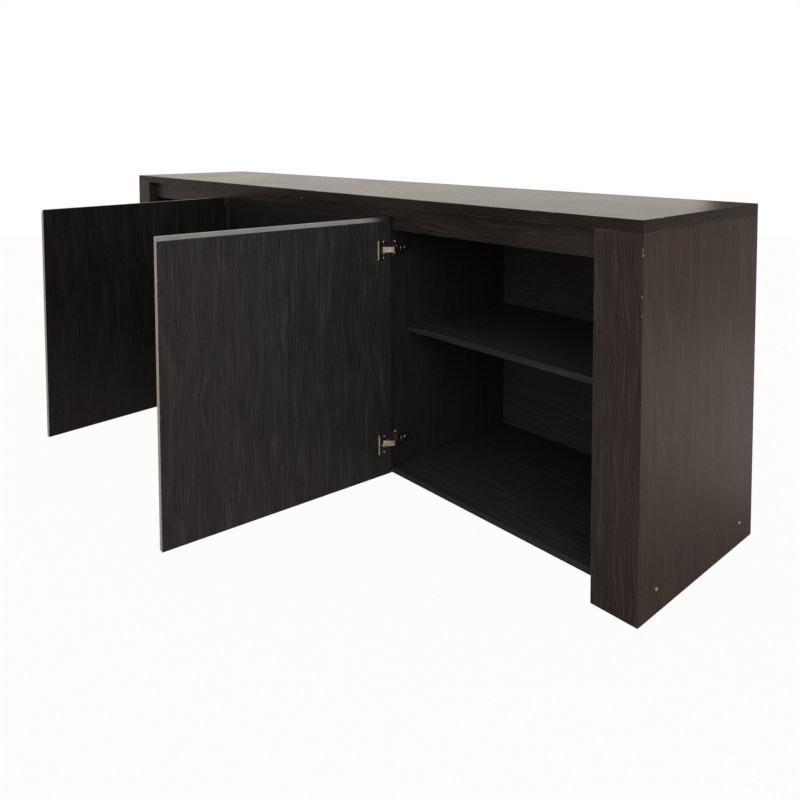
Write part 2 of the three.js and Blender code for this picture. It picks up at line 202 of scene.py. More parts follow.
class Shade:
    """One value, colour or vector of a material; operators on values add its Math nodes."""

    def __init__(self, tree, socket):
        self.tree = tree
        self.socket = socket

    def node(self, kind, settings, inputs, output=0):
        """Adds a node by its type, its settings, and the values or links of its sockets."""
        made = self.tree.nodes.new(kind)
        for name, value in settings.items():
            setattr(made, name, value)
        for name, value in inputs.items():
            if isinstance(value, Shade):
                self.tree.links.new(value.socket, made.inputs[name])
            else:
                made.inputs[name].default_value = value
        return Shade(self.tree, made.outputs[output])

    def math(self, operation, *values):
        return self.node("ShaderNodeMath", {"operation": operation}, dict(enumerate(values)))

    def __add__(self, other):
        return self.math("ADD", self, other)

    __radd__ = __add__

    def __sub__(self, other):
        return self.math("SUBTRACT", self, other)

    def __rsub__(self, other):
        return self.math("SUBTRACT", other, self)

    def __mul__(self, other):
        return self.math("MULTIPLY", self, other)

    __rmul__ = __mul__

    def __abs__(self):
        return self.math("ABSOLUTE", self)

    def ramp(self, low, high):
        """0 below the low value, 1 above the high one, smooth between."""
        return self.node(
            "ShaderNodeMapRange", {"interpolation_type": "SMOOTHSTEP"},
            {"Value": self, "From Min": low, "From Max": high})

    def noise(self, scale, detail=2.0, roughness=0.5):
        return self.node(
            "ShaderNodeTexNoise", {},
            {"Vector": self, "Scale": scale, "Detail": detail, "Roughness": roughness})

    def stretched(self, factors):
        return self.node("ShaderNodeVectorMath", {"operation": "MULTIPLY"}, {0: self, 1: factors})

    def scaled(self, factor):
        """A colour or vector made larger or smaller."""
        return self.node("ShaderNodeVectorMath", {"operation": "SCALE"}, {0: self, "Scale": factor})

    def with_parts(self, *values):
        """A vector of three values."""
        return self.node("ShaderNodeCombineXYZ", {}, dict(enumerate(values)))

    def parts(self):
        split = self.node("ShaderNodeSeparateXYZ", {}, {0: self})
        return [Shade(self.tree, output) for output in split.socket.node.outputs]

    def colour_to(self, first, second):
        """A colour that goes from the first to the second as this value goes from 0 to 1."""
        return self.node("ShaderNodeMix", {"data_type": "RGBA"}, {0: self, 6: first, 7: second}, 2)

    def value_to(self, first, second):
        """A value that goes from the first to the second as this one goes from 0 to 1."""
        return self.node("ShaderNodeMix", {"data_type": "FLOAT"}, {0: self, 2: first, 3: second})


def opaque(colour):
    return (*colour, 1.0)


WHITE = opaque((1.0, 1.0, 1.0))
BLACK = opaque((0.0, 0.0, 0.0))


def start_material(name):
    """A new material, its shader, and its object coordinates and normal."""
    material = bpy.data.materials.new(name)
    material.use_nodes = True
    tree = material.node_tree
    shader = tree.nodes["Principled BSDF"]
    coordinates = tree.nodes.new("ShaderNodeTexCoord")
    place = Shade(tree, coordinates.outputs["Object"])
    normal = Shade(tree, coordinates.outputs["Normal"])
    return material, shader, place, normal


def feed(shader, **inputs):
    """Sets the shader's sockets, named with _ for a space, to values or links."""
    for name, value in inputs.items():
        socket = shader.inputs[name.replace("_", " ")]
        if isinstance(value, Shade):
            value.tree.links.new(value.socket, socket)
        else:
            socket.default_value = value


def bumped(height, strength, distance):
    return height.node(
        "ShaderNodeBump", {}, {"Strength": strength, "Distance": distance, "Height": height})


def along(axis, length_wise, cross_wise):
    """Factors that stretch a pattern along one axis."""
    return tuple(length_wise if name == axis else cross_wise for name in AXES)


# Grain: features per metre across and along it
SWAY_PITCH = (2.6, 0.9)
RIPPLE_PITCH = (9.0, 8.0)
BLUSH_PITCH = (9.0, 3.0)
BROAD_PITCH = (20.0, 2.0)
PATCH_PITCH = (45.0, 7.0)
LINE_PITCH = (115.0, 3.2)
STREAK_PITCH = (240.0, 8.0)
FIBRE_PITCH = (700.0, 25.0)
PORE_PITCH = (1400.0, 60.0)
# How far the grain is drawn sideways, in metres
SWAY_REACH = 0.10
RIPPLE_REACH = 0.026
# How near its noise is to the middle on a pale line
LINE_BREADTH = 0.06
# How pale the wood is, and how much each part of its grain lightens it
WOOD_PALENESS = 0.23
BROAD_SHARE = 0.35
STREAK_SHARE = 0.90
LINE_SHARE = 0.60
FIBRE_SHARE = 0.65
BLUSH_SHARE = 0.5
PORE_SHARE = 0.4
# Noise levels between which a grain line comes out, a pore opens and the wood blushes
PATCH_LEVELS = (-0.18, 0.18)
PORE_LEVELS = (0.10, 0.20)
BLUSH_LEVELS = (-0.05, 0.20)
# How much fibres, pores and smudges change the roughness
FIBRE_ROUGHNESS = 0.10
PORE_ROUGHNESS = 0.10
SMUDGE_ROUGHNESS = 0.12
SMUDGE_PITCH = 5.0
# Relief of fibres, streaks and pores, and the strength and the depth in metres of the bump
FIBRE_RELIEF = 0.5
STREAK_RELIEF = 0.4
PORE_RELIEF = 0.6
WOOD_BUMP = (0.10, 0.0003)
# Moves each board's pattern to another part of the noise
SEED_STEP = 3.7
# How far a face looks along the grain before it is an end
END_LEVELS = (0.5, 0.7)
# How far it looks along the board's thickness before it is a broad side, and from outside to inside, where
# the outer side gets painted shade
BROAD_LEVELS = (0.75, 0.90)
SHADED_OUTER_LEVELS = (-0.5, 0.5)
# How metallic the pale band round the doors is, and how much of the grain shows in it
BAND_METALLIC = 0.65
BAND_GRAIN = 0.2
# Where the painted shade on the band ends, from the door's hinged edge in metres, and what it leaves of the
# colour
BAND_SHADE_REACH = (0.010, 0.085)
BAND_SHADE_LEFT = 0.12
# Wear along the edges, in metres, and the share of that width that is fully worn
CHIP_WIDTH = 0.0024
RUB_WIDTH = 0.0011
WORN_SHARE = 0.4
# Where the wear comes: noise per metre, and the noise levels at which it starts and is full
CHIP_PITCH = 46.0
CHIP_LEVELS = (0.74, 0.77)
RUB_PITCH = 13.0
RUB_LEVELS = (0.42, 0.62)
RUB_SHARE = 0.15
CHIP_ROUGHNESS = 0.3


def board_frame(node, place, normal):
    """The board's own coordinates and normal, and its middle and half size in them."""
    if node.startswith("door_"):
        turn, pivot = door_turn(node.removeprefix("door_"))
        inverse = turn.inverted()
        rotation = inverse.to_euler()
        place = place.node(
            "ShaderNodeMapping", {"vector_type": "POINT"},
            {"Vector": place, "Rotation": rotation, "Location": inverse @ -pivot})
        normal = normal.node(
            "ShaderNodeMapping", {"vector_type": "VECTOR"}, {"Vector": normal, "Rotation": rotation})
        corners = [inverse @ (vertex.co - pivot) for vertex in frame["nodes"][node].data.vertices]
        low = Vector(map(min, zip(*corners)))
        high = Vector(map(max, zip(*corners)))
    else:
        low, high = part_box(node)
    return place, normal, (low + high) / 2, (high - low) / 2


def edge_distance(place, middle, half):
    """How far a point of the board's surface is from its nearest edge."""
    gaps = [size - abs(value - centre) for value, centre, size in zip(place.parts(), middle, half)]
    largest = gaps[0].math("MAXIMUM", gaps[0], gaps[1])
    largest = largest.math("MAXIMUM", largest, gaps[2])
    return gaps[0] + gaps[1] + gaps[2] - largest


def grain_axes(place, normal, grain, edge_grain):
    """Distances across and along the grain, which turns on the board's ends."""
    parts = dict(zip(AXES, place.parts()))
    on_end = abs(normal.parts()[AXES.index(grain)]).ramp(*END_LEVELS)

    def across(axis):
        first, second = (parts[name] for name in AXES if name != axis)
        return first + second

    return (on_end.value_to(across(grain), across(edge_grain)),
            on_end.value_to(parts[grain], parts[edge_grain]))


def warmed(colour, warmth):
    """A colour brought towards grey where the warmth is under 1, and away from it above 1."""
    grey = sum(colour) / 3
    return opaque([grey + (value - grey) * warmth for value in colour])


def banded(colour, light, own, on_edge, band):
    """The colour with a pale band on the board's edges, darkened next to its hinges by painted shade."""
    # painted shade: the band darkens within a few centimetres of the hinged edge
    hinge_shade_factor = abs(own.parts()[0]).ramp(*BAND_SHADE_REACH) * (1 - BAND_SHADE_LEFT) + BAND_SHADE_LEFT
    paleness = (light * BAND_GRAIN + (1 - BAND_GRAIN)) * hinge_shade_factor
    return on_edge.colour_to(colour, paleness.colour_to(BLACK, opaque(band)))


def worn(finishes, colour, rough, place, near, wear):
    """The colour and roughness with rubbed and chipped edges."""
    core = opaque(finishes.wood_chip)
    rubbed = 1 - near.ramp(RUB_WIDTH * WORN_SHARE, RUB_WIDTH)
    rubbed = rubbed * place.noise(RUB_PITCH).ramp(*RUB_LEVELS)
    colour = (rubbed * RUB_SHARE).colour_to(colour, core)
    low, high = CHIP_LEVELS
    chipped = 1 - near.ramp(CHIP_WIDTH * WORN_SHARE, CHIP_WIDTH)
    chipped = chipped * place.noise(CHIP_PITCH, detail=3.0, roughness=0.7).ramp(low - wear, high - wear)
    return chipped.colour_to(colour, core), rough + chipped * CHIP_ROUGHNESS


def wood(
        finishes, node, grain, edge_grain, tone=1.0, warmth=1.0, wear=0.0, figure=1.0,
        broad_roughness=None, band=None, outer_tone=None):
    """Dark wood on one board: fine pale lines along the grain, fibres, pores and worn edges."""
    material, shader, place, normal = start_material(f"wood_{node}")
    seed = sorted(frame["nodes"]).index(node) * SEED_STEP
    across, lengthwise = grain_axes(place, normal, grain, edge_grain)

    def field(side, pitch, detail=2.0, roughness=0.5):
        stretched = side.with_parts(side * pitch[0], lengthwise * pitch[1], seed)
        return stretched.noise(1.0, detail, roughness) - 0.5

    drawn = across + field(across, SWAY_PITCH) * SWAY_REACH + field(across, RIPPLE_PITCH) * RIPPLE_REACH
    broad = field(drawn, BROAD_PITCH)
    streaks = field(drawn, STREAK_PITCH, detail=3.0, roughness=0.6)
    fibres = field(drawn, FIBRE_PITCH, detail=3.0, roughness=0.6)
    pores = field(drawn, PORE_PITCH, detail=1.0).ramp(*PORE_LEVELS)
    lines = 1 - abs(field(drawn, LINE_PITCH)).ramp(0.0, LINE_BREADTH)
    lines = lines * field(drawn, PATCH_PITCH).ramp(*PATCH_LEVELS)
    light = broad * BROAD_SHARE + streaks * STREAK_SHARE + fibres * FIBRE_SHARE + lines * LINE_SHARE
    light = light * figure + WOOD_PALENESS

    blush = field(across, BLUSH_PITCH).ramp(*BLUSH_LEVELS)
    ground = (blush * BLUSH_SHARE).colour_to(
        warmed(finishes.wood_ground, warmth), warmed(finishes.wood_blush, warmth))
    colour = light.colour_to(ground, warmed(finishes.wood_line, warmth))
    colour = (pores * PORE_SHARE).colour_to(colour, BLACK)

    own, facing, middle, half = board_frame(node, place, normal)
    thin = facing.parts()[min(range(3), key=lambda axis: half[axis])]
    on_edge = 1 - abs(thin).ramp(*BROAD_LEVELS)
    # painted shade: the outer side of the doors and drawer fronts is darkened
    if outer_tone is not None:
        tone = thin.ramp(*SHADED_OUTER_LEVELS).value_to(outer_tone, tone)
    colour = colour.scaled(tone)
    gloss = finishes.wood_roughness
    if broad_roughness is not None:
        gloss = on_edge.value_to(broad_roughness, gloss)
    smudges = place.noise(SMUDGE_PITCH, detail=3.0) - 0.5
    rough = fibres * FIBRE_ROUGHNESS + pores * PORE_ROUGHNESS + smudges * SMUDGE_ROUGHNESS + gloss
    if band is not None:
        colour = banded(colour, light, own, on_edge, band)
        feed(shader, Metallic=on_edge * BAND_METALLIC)
    if wear:
        colour, rough = worn(finishes, colour, rough, place, edge_distance(own, middle, half), wear)
    relief = fibres * FIBRE_RELIEF + streaks * STREAK_RELIEF - pores * PORE_RELIEF
    feed(shader, Base_Color=colour, Roughness=rough, IOR=finishes.wood_ior,
         Normal=bumped(relief, *WOOD_BUMP))
    return material


# Plating: brush marks per metre across and along, patches per metre, and where a patch starts and is full
BRUSH_PITCH = (1500.0, 90.0)
DULL_PITCH = 120.0
DULL_LEVELS = (0.38, 0.66)
DULL_SHARE = 0.72
BRUSH_ROUGHNESS = 0.16
DULL_ROUGHNESS = 0.10
BRUSH_BUMP = (0.10, 0.0001)
NICKEL_ROUGHNESS = 0.24
SCREW_ROUGHNESS = 0.22
SIDE_SCREW_ROUGHNESS = 0.26
ZINC_ROUGHNESS = 0.36
NAIL_ROUGHNESS = 0.40


def metal(name, colour, grain, roughness, tarnish=None):
    """Plated metal: faint brushing along one axis, and patches where the plating is dull."""
    material, shader, place, _ = start_material(name)
    across, lengthwise = BRUSH_PITCH
    brushed = place.stretched(along(grain, lengthwise, across)).noise(1.0)
    patches = place.noise(DULL_PITCH, detail=3.0)
    dull = [value * DULL_SHARE for value in (tarnish or colour)]
    tint = patches.ramp(*DULL_LEVELS).colour_to(opaque(dull), opaque(colour))
    uneven = (brushed - 0.5) * BRUSH_ROUGHNESS + (patches - 0.5) * DULL_ROUGHNESS
    feed(shader, Base_Color=tint, Metallic=1.0, Roughness=uneven + roughness,
         Normal=bumped(brushed, *BRUSH_BUMP))
    return material


# The feet's plastic: specks and scuffs per metre, and where a scuff starts and is full
SPECK_PITCH = 1800.0
SCUFF_PITCH = 90.0
SCUFF_LEVELS = (0.55, 0.75)
SCUFF_PALENESS = 2.2
SCUFF_ROUGHNESS = 0.15
PLASTIC_ROUGHNESS = 0.5
SPECK_BUMP = (0.2, 0.0001)


def moulded_plastic(finishes):
    """Dark plastic with a fine speckle and paler scuffs."""
    material, shader, place, _ = start_material("foot_plastic")
    specks = place.noise(SPECK_PITCH)
    scuffs = place.noise(SCUFF_PITCH, detail=3.0).ramp(*SCUFF_LEVELS)
    scuffed = [value * SCUFF_PALENESS for value in finishes.plastic]
    feed(shader, Base_Color=scuffs.colour_to(opaque(finishes.plastic), opaque(scuffed)),
         Roughness=scuffs * SCUFF_ROUGHNESS + PLASTIC_ROUGHNESS, Normal=bumped(specks, *SPECK_BUMP))
    return material


# The rounded edges: how near corners are welded, steps across the rounding, and the least angle rounded
WELD_GAP = 1e-6
EDGE_SEGMENTS = 2
EDGE_ANGLE = math.radians(30)


def dress(node, material, edge):
    """Gives a cabinet piece its finish, and rounds its edges by modifiers that leave its mesh as it is."""
    piece = frame["nodes"][node]
    piece.data.materials.clear()
    piece.data.materials.append(material)
    weld = piece.modifiers.new("weld", "WELD")
    weld.merge_threshold = WELD_GAP
    bevel = piece.modifiers.new("round_edges", "BEVEL")
    bevel.width = edge
    bevel.segments = EDGE_SEGMENTS
    bevel.profile = 0.5
    bevel.limit_method = "ANGLE"
    bevel.angle_limit = EDGE_ANGLE


# How the wood of each kind of board looks; the doors and drawer fronts are darker outside than inside by
# painted shade, for the shade between the open doors
TOP_LOOK = {"tone": 0.48, "warmth": 2.0, "wear": 0.10}
LEG_FRONT_LOOK = {"tone": 1.22, "warmth": 1.4, "wear": 0.08}
LEG_REAR_LOOK = {"tone": 1.22, "warmth": 1.4, "wear": 0.05}
SIDE_PANEL_LOOK = {"tone": 1.18, "warmth": 2.0, "wear": 0.08}
INNER_LOOK = {"tone": 1.2, "warmth": 0.5}
FRONT_RAIL_LOOK = {"tone": 1.05, "figure": 1.2}
MIDDLE_RAIL_LOOK = {"warmth": 0.5}
BOTTOM_LOOK = {"tone": 1.40, "warmth": 0.3, "figure": 0.8}
BACK_LOOK = {"tone": 2.0, "warmth": 0.2, "figure": 0.4}
PARTITION_LOOK = {"tone": 1.05, "warmth": 0.2, "figure": 0.4}
SHELF_LOOK = {"tone": 1.45, "warmth": 0.2, "figure": 0.8}
CLEAT_LOOK = {"tone": 1.2, "warmth": 0.4, "figure": 0.8}
DOOR_LOOK = {"tone": 1.25, "outer_tone": 0.54, "warmth": 0.25, "wear": 0.06}
DRAWER_FRONT_LOOK = {"tone": 1.25, "outer_tone": 0.54, "warmth": 0.25, "figure": 0.6}


def dress_boards(scene, boards):
    """Finishes boards, each given by its grain, the grain on its ends, and its look."""
    for node, (grain, edge_grain, look) in boards.items():
        material = wood(scene.credenza_finishes, node, grain, edge_grain, **look)
        dress(node, material, scene.credenza_sizes.board_edge)


def door_turn(side):
    """How a door is turned at rest, and the point on its hinged edge that it turns about."""
    joint = JOINTS[f"{side}_door_hinge"]
    open_angle = math.radians(joint["range_deg"][1]) * joint["axis"][2]
    pivot = Vector(joint["pos_m"])
    pivot.z = 0
    return Matrix.Rotation(-open_angle, 3, "Z"), pivot


def add_piece(name, mesh, material, body):
    """Makes an object of a finished bmesh, with its place in its mesh, and lets it ride on a body."""
    bmesh.ops.recalc_face_normals(mesh, faces=mesh.faces)
    data = bpy.data.meshes.new(name)
    mesh.to_mesh(data)
    mesh.free()
    data.materials.append(material)
    piece = bpy.data.objects.new(name, data)
    bpy.context.scene.collection.objects.link(piece)
    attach(piece, body)


# Where the screws sit on a hinge's arm, from its front and rear end and its middle, in metres
WING_SCREW_INSET = 0.010
WING_SCREW_SPREAD = 0.016
WING_THICKNESS = 0.002
ARM_SCREW_INSETS = (0.0195, 0.0320)
FLANGE_SINK = 0.001
# Where the nails sit in from the back panel's edge, and how high up the partitions
NAIL_INSET = 0.008
NAIL_SHARES = (0.25, 0.5, 0.75)

# A screw head's proportions, by its diameter
HEAD_RISE = 0.22
HEAD_CORNER = 0.10
HEAD_SINK = 0.10
RECESS_LENGTH = 0.56
RECESS_WIDTH = 0.13
RECESS_DEPTH = 0.16
MERGE_SHARE = 1e-4
# How far the corner's middle lies from its ends, by the corner's size
CORNER_ROUND = 0.3
# How much of the recess is left at its floor
RECESS_TAPER = 0.72
# How high a face of the head's flat top lies at least, by the head's rise
FLAT_SHARE = 0.98
HEAD_STEPS = 32
# How far the screws of each kind are turned, in radians
CUP_SCREW_TURN = 0.4
PLATE_SCREW_TURN = 0.5
ARM_SCREW_TURN = 0.4
SIDE_SCREW_TURN = 0.3


def add_head(mesh, diameter, place, axis, turn=0.0, recessed=True):
    """A round pan head, with a cross recess, standing on a point and looking along an axis."""
    head = bmesh.new()
    radius = diameter / 2
    rise = diameter * HEAD_RISE
    corner = diameter * HEAD_CORNER
    profile = [(radius, -diameter * HEAD_SINK), (radius, rise - corner)]
    profile += [(radius - corner * CORNER_ROUND, rise - corner * CORNER_ROUND)]
    profile += [(radius - corner, rise), (0.0, rise)]
    points = [head.verts.new((x, 0.0, z)) for x, z in profile]
    edges = [head.edges.new(pair) for pair in zip(points, points[1:])]
    bmesh.ops.spin(
        head, geom=points + edges, cent=(0, 0, 0), axis=(0, 0, 1), angle=math.tau,
        steps=HEAD_STEPS, use_merge=True)
    bmesh.ops.remove_doubles(head, verts=head.verts, dist=diameter * MERGE_SHARE)
    rim = [edge for edge in head.edges if edge.is_boundary]
    bmesh.ops.contextual_create(head, geom=rim)
    if recessed:
        cut_cross(head, diameter, rise)
    bmesh.ops.recalc_face_normals(head, faces=head.faces)
    upright = Vector(axis).to_track_quat("Z", "Y").to_matrix() @ Matrix.Rotation(turn, 3, "Z")
    matrix = Matrix.Translation(place) @ upright.to_4x4()
    bmesh.ops.transform(head, matrix=matrix, verts=head.verts)
    loose = bpy.data.meshes.new("head")
    head.to_mesh(loose)
    head.free()
    mesh.from_mesh(loose)
    bpy.data.meshes.remove(loose)


def cut_cross(head, diameter, rise):
    """Sinks a cross into the top of a head."""
    half_length = diameter * RECESS_LENGTH / 2
    half_width = diameter * RECESS_WIDTH / 2

    def flat_faces():
        return [face for face in head.faces if face.calc_center_median().z > rise * FLAT_SHARE]

    bmesh.ops.dissolve_faces(head, faces=flat_faces())
    for axis in (Vector((1, 0, 0)), Vector((0, 1, 0))):
        for distance in (-half_length, -half_width, half_width, half_length):
            flat = flat_faces()
            around = list({edge for face in flat for edge in face.edges})
            corners = list({vertex for face in flat for vertex in face.verts})
            bmesh.ops.bisect_plane(
                head, geom=flat + around + corners, plane_co=axis * distance, plane_no=axis)

    def in_cross(face):
        middle = face.calc_center_median()
        reach = max(abs(middle.x), abs(middle.y))
        spread = min(abs(middle.x), abs(middle.y))
        return reach < half_length and spread < half_width

    cross = [face for face in flat_faces() if in_cross(face)]
    sunk = bmesh.ops.extrude_face_region(head, geom=cross)["geom"]
    floor = [item for item in sunk if isinstance(item, bmesh.types.BMVert)]
    bmesh.ops.delete(head, geom=cross, context="FACES")
    bmesh.ops.translate(head, verts=floor, vec=(0, 0, -diameter * RECESS_DEPTH))
    bmesh.ops.scale(head, verts=floor, vec=(RECESS_TAPER, RECESS_TAPER, 1.0))


class CREDENZA_OT_top(bpy.types.Operator):
    """Finishes the top board, with the grain along it"""

    bl_idname = "credenza.top"
    bl_label = "Top board"

    def execute(self, context):
        polished = {**TOP_LOOK, "broad_roughness": context.scene.credenza_finishes.top_roughness}
        dress_boards(context.scene, {"top_panel": ("X", "Y", polished)})
        return {"FINISHED"}


class CREDENZA_OT_legs(bpy.types.Operator):
    """Finishes the boards of both legs, with upright grain"""

    bl_idname = "credenza.legs"
    bl_label = "Legs"

    def execute(self, context):
        for side in SIDES:
            dress_boards(context.scene, {
                f"leg_front_{side}": ("Z", "X", LEG_FRONT_LOOK),
                f"side_panel_{side}": ("Z", "Y", SIDE_PANEL_LOOK),
                f"leg_rear_{side}": ("Z", "X", LEG_REAR_LOOK),
                f"leg_inner_{side}": ("Z", "Y", INNER_LOOK),
                f"leg_base_{side}": ("Y", "X", INNER_LOOK),
            })
        return {"FINISHED"}


class CREDENZA_OT_carcass(bpy.types.Operator):
    """Finishes the rails, the bottom, the back, the partitions and the shelves"""

    bl_idname = "credenza.carcass"
    bl_label = "Carcass"

    def execute(self, context):
        dress_boards(context.scene, {
            "front_rail": ("X", "Z", FRONT_RAIL_LOOK),
            "middle_rail": ("X", "Z", MIDDLE_RAIL_LOOK),
            "bottom_panel": ("X", "Y", BOTTOM_LOOK),
            "back_panel": ("X", "Z", BACK_LOOK),
        })
        for side in SIDES:
            dress_boards(context.scene, {
                f"partition_{side}": ("Z", "Y", PARTITION_LOOK),
                f"shelf_{side}": ("X", "Y", SHELF_LOOK),
                f"shelf_cleat_{side}_inner": ("Y", "X", CLEAT_LOOK),
                f"shelf_cleat_{side}_outer": ("Y", "X", CLEAT_LOOK),
            })
        return {"FINISHED"}


class CREDENZA_OT_doors(bpy.types.Operator):
    """Finishes both doors, with upright grain, a pale band and worn edges"""

    bl_idname = "credenza.doors"
    bl_label = "Doors"

    def execute(self, context):
        edged = {**DOOR_LOOK, "band": list(context.scene.credenza_finishes.door_edge)}
        dress_boards(context.scene, {f"door_{side}": ("Z", "Y", edged) for side in SIDES})
        return {"FINISHED"}


class CREDENZA_OT_drawers(bpy.types.Operator):
    """Finishes the drawer fronts and the drawer boxes"""

    bl_idname = "credenza.drawers"
    bl_label = "Drawers"

    def execute(self, context):
        for level in LEVELS:
            dress_boards(context.scene, {
                f"drawer_front_{level}": ("X", "Z", DRAWER_FRONT_LOOK),
                f"drawer_back_{level}": ("X", "Z", INNER_LOOK),
                f"drawer_floor_{level}": ("X", "Y", INNER_LOOK),
                f"drawer_side_{level}_left": ("Y", "Z", INNER_LOOK),
                f"drawer_side_{level}_right": ("Y", "Z", INNER_LOOK),
            })
        return {"FINISHED"}


class CREDENZA_OT_runners(bpy.types.Operator):
    """Finishes the drawers' steel runners and slides"""

    bl_idname = "credenza.runners"
    bl_label = "Drawer runners"

    def execute(self, context):
        sizes = context.scene.credenza_sizes
        finishes = context.scene.credenza_finishes
        zinc = metal("runner_zinc", list(finishes.zinc), "Y", ZINC_ROUGHNESS)
        for level in LEVELS:
            for side in SIDES:
                dress(f"runner_{level}_{side}", zinc, sizes.metal_edge)
                dress(f"slide_{level}_{side}", zinc, sizes.metal_edge)
        return {"FINISHED"}


class CREDENZA_OT_hinges(bpy.types.Operator):
    """Finishes the hinges' cups, links and arms"""

    bl_idname = "credenza.hinges"
    bl_label = "Hinges"

    def execute(self, context):
        sizes = context.scene.credenza_sizes
        finishes = context.scene.credenza_finishes
        nickel = metal("hinge_nickel", list(finishes.nickel), "Y", NICKEL_ROUGHNESS)
        cup_nickel = metal(
            "cup_nickel", list(finishes.nickel), "Y", NICKEL_ROUGHNESS, list(finishes.cup_tarnish))
        for side in SIDES:
            for level in LEVELS:
                dress(f"hinge_cup_{side}_{level}", cup_nickel, sizes.metal_edge)
                dress(f"hinge_link_{side}_{level}", nickel, sizes.metal_edge)
                dress(f"hinge_arm_{side}_{level}", nickel, sizes.metal_edge)
        return {"FINISHED"}


class CREDENZA_OT_hinge_screws(bpy.types.Operator):
    """Adds the screws of the hinge cups' flanges, of the plates and of the arms"""

    bl_idname = "credenza.hinge_screws"
    bl_label = "Hinge screws"

    def execute(self, context):
        sizes = context.scene.credenza_sizes
        finishes = context.scene.credenza_finishes
        bright = metal("screw_nickel", list(finishes.screw), "Z", SCREW_ROUGHNESS)
        for side in SIDES:
            self.add_cup_screws(side, sizes, bright)
            self.add_arm_screws(side, sizes, bright)
        return {"FINISHED"}

    def add_cup_screws(self, side, sizes, material):
        mesh = bmesh.new()
        turn, pivot = door_turn(side)
        outwards = turn @ Vector((0, 1, 0))
        lengthwise = turn @ Vector((SIDES[side], 0, 0))
        for level in LEVELS:
            cup = frame["nodes"][f"hinge_cup_{side}_{level}"]
            low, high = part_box(cup.name)
            middle = (low.z + high.z) / 2
            flange = max((vertex.co - pivot) @ outwards for vertex in cup.data.vertices)
            for step in (-1, 1):
                place = pivot + lengthwise * sizes.cup_screw_inset + outwards * (flange - FLANGE_SINK)
                place.z = middle + step * sizes.cup_screw_spread
                add_head(mesh, sizes.cup_screw, place, outwards, CUP_SCREW_TURN * step)
        add_piece(f"cup_screws_{side}", mesh, material, f"{side}_door")

    def add_arm_screws(self, side, sizes, material):
        mesh = bmesh.new()
        outwards = Vector((SIDES[side], 0, 0))
        for level in LEVELS:
            low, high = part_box(f"hinge_arm_{side}_{level}")
            middle = (low.z + high.z) / 2
            foot = min(abs(low.x), abs(high.x))
            bridge = max(abs(low.x), abs(high.x))
            for step in (-1, 1):
                wing = Vector((SIDES[side] * (foot + WING_THICKNESS), low.y + WING_SCREW_INSET, middle))
                wing.z += step * WING_SCREW_SPREAD
                add_head(mesh, sizes.plate_screw, wing, outwards, PLATE_SCREW_TURN * step)
            for index, inset in enumerate(ARM_SCREW_INSETS):
                place = Vector((SIDES[side] * bridge, high.y - inset, middle))
                add_head(mesh, sizes.arm_screw, place, outwards, ARM_SCREW_TURN + index)
        add_piece(f"arm_screws_{side}", mesh, material, "carcass")


class CREDENZA_OT_side_screws(bpy.types.Operator):
    """Adds the screws low on the side panels, which hold the legs' base boards"""

    bl_idname = "credenza.side_screws"
    bl_label = "Side screws"

    def execute(self, context):
        sizes = context.scene.credenza_sizes
        finishes = context.scene.credenza_finishes
        bright = metal("side_screw_nickel", list(finishes.screw), "Z", SIDE_SCREW_ROUGHNESS)
        for side, sign in SIDES.items():
            mesh = bmesh.new()
            low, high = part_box(f"leg_base_{side}")
            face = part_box(f"side_panel_{side}")[0 if sign < 0 else 1].x
            for step in (-1, 1):
                place = Vector((face, step * sizes.side_screw_spread, (low.z + high.z) / 2))
                add_head(mesh, sizes.side_screw, place, (sign, 0, 0), SIDE_SCREW_TURN * step)
            add_piece(f"side_screws_{side}", mesh, bright, "carcass")
        return {"FINISHED"}


class CREDENZA_OT_back_nails(bpy.types.Operator):
    """Adds the nails round the back panel and along the partitions behind it"""

    bl_idname = "credenza.back_nails"
    bl_label = "Back nails"

    def execute(self, context):
        sizes = context.scene.credenza_sizes
        finishes = context.scene.credenza_finishes
        steel = metal("nail_steel", list(finishes.zinc), "Z", NAIL_ROUGHNESS)
        low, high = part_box("back_panel")
        mesh = bmesh.new()
        count = sizes.back_nail_count
        for index in range(count):
            x = low.x + NAIL_INSET + (high.x - low.x - 2 * NAIL_INSET) * index / (count - 1)
            for z in (low.z + NAIL_INSET, high.z - NAIL_INSET):
                add_head(mesh, sizes.back_nail, Vector((x, high.y, z)), (0, 1, 0), recessed=False)
        for side in SIDES:
            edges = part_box(f"partition_{side}")
            x = (edges[0].x + edges[1].x) / 2
            for share in NAIL_SHARES:
                z = low.z + (high.z - low.z) * share
                add_head(mesh, sizes.back_nail, Vector((x, high.y, z)), (0, 1, 0), recessed=False)
        add_piece("back_nails", mesh, steel, "carcass")
        return {"FINISHED"}


class CREDENZA_OT_feet(bpy.types.Operator):
    """Finishes the feet under the bottom board"""

    bl_idname = "credenza.feet"
    bl_label = "Feet"

    def execute(self, context):
        sizes = context.scene.credenza_sizes
        plastic = moulded_plastic(context.scene.credenza_finishes)
        for place in ("left", "centre", "right"):
            dress(f"foot_{place}", plastic, sizes.metal_edge)
        return {"FINISHED"}


# The lamp and the floor, in metres, and where the floor fades to white
LAMP_SIZE = (2.6, 2.0)
LAMP_PLACE = Vector((3.2, -2.0, 1.9))
LAMP_TARGET = Vector((0.4, -0.3, 0.4))
FLOOR_RADIUS = 14.0
FLOOR_SEGMENTS = 96
FLOOR_ROUGHNESS = 0.9
FLOOR_FADE = (2.2, 6.0)
# The bright patch of the mirrored floor, and how far from its middle it fades
SUNNY_PLACE = (1.75, 1.15, 0.0)
SUNNY_FADE = (0.3, 1.4)
# How far the shade round the cabinet reaches, and what it leaves of the mirrored floor's brightness
SHADE_REACH = (0.0, 0.28)
SHADE_SHARE = 0.36
# The bearing of the bright wall's end, from the +Y axis towards -X, and how soft that end is
WALL_END = math.radians(24.8)
WALL_BLUR = 0.02


